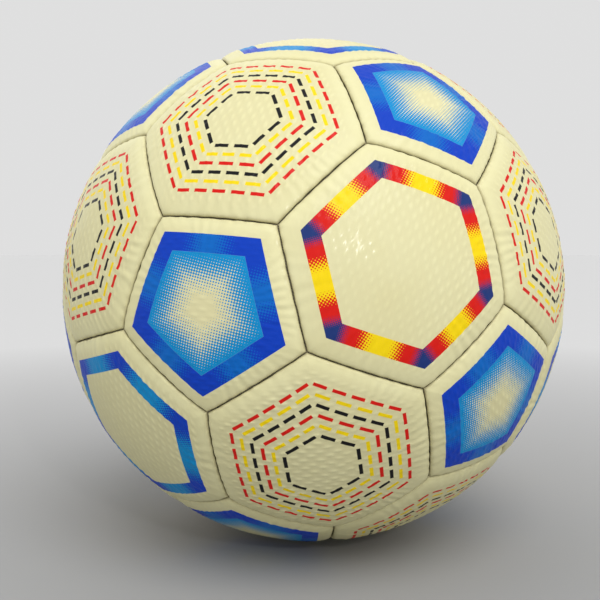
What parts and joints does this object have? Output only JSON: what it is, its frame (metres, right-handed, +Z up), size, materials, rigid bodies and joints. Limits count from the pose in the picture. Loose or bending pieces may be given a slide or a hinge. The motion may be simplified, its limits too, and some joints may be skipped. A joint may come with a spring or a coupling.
{
  "type": "soccer ball",
  "caption": "Stitched size 5 soccer ball of pentagon and hexagon panels with a printed band and dash pattern, its bladder and needle valve inside.",
  "frame": {"origin": "centre of the ball", "axes": "+Z up as the ball lies on the ground, -Y towards the front, +X to the right seen from the front"},
  "size_m": [0.2196, 0.2196, 0.2196],
  "materials": {
    "pentagon_cover": "semi-gloss grained synthetic leather, ivory with a printed blue outline",
    "burst_cover": "semi-gloss grained synthetic leather, ivory with printed nested hexagons of dashes",
    "warm_cover": "semi-gloss grained synthetic leather, ivory with a printed outline of yellow, red and navy",
    "cool_cover": "semi-gloss grained synthetic leather, ivory with a printed outline of blue and cyan",
    "thread_polyester": "waxed polyester thread",
    "bladder_rubber": "matt butyl",
    "patch_rubber": "matt butyl",
    "valve_rubber": "moulded butyl",
    "plug_rubber": "soft latex"
  },
  "bodies": {
    "root": {"pentagon_panel_01": "pentagon_cover", "pentagon_panel_02": "pentagon_cover", "pentagon_panel_03": "pentagon_cover", "pentagon_panel_04": "pentagon_cover", "pentagon_panel_05": "pentagon_cover", "pentagon_panel_06": "pentagon_cover", "pentagon_panel_07": "pentagon_cover", "pentagon_panel_08": "pentagon_cover", "pentagon_panel_09": "pentagon_cover", "pentagon_panel_10": "pentagon_cover", "pentagon_panel_11": "pentagon_cover", "pentagon_panel_12": "pentagon_cover", "burst_hexagon_panel_01": "burst_cover", "burst_hexagon_panel_02": "burst_cover", "burst_hexagon_panel_03": "burst_cover", "burst_hexagon_panel_04": "burst_cover", "burst_hexagon_panel_05": "burst_cover", "burst_hexagon_panel_06": "burst_cover", "burst_hexagon_panel_07": "burst_cover", "burst_hexagon_panel_08": "burst_cover", "burst_hexagon_panel_09": "burst_cover", "burst_hexagon_panel_10": "burst_cover", "burst_hexagon_panel_11": "burst_cover", "burst_hexagon_panel_12": "burst_cover", "warm_hexagon_panel_1": "warm_cover", "warm_hexagon_panel_2": "warm_cover", "warm_hexagon_panel_3": "warm_cover", "valve_hexagon_panel": "warm_cover", "cool_hexagon_panel_1": "cool_cover", "cool_hexagon_panel_2": "cool_cover", "cool_hexagon_panel_3": "cool_cover", "cool_hexagon_panel_4": "cool_cover", "seam_thread": "thread_polyester", "bladder": "bladder_rubber", "valve_patch": "patch_rubber", "valve_housing": "valve_rubber", "valve_plug": "plug_rubber"}
  },
  "joints": []
}
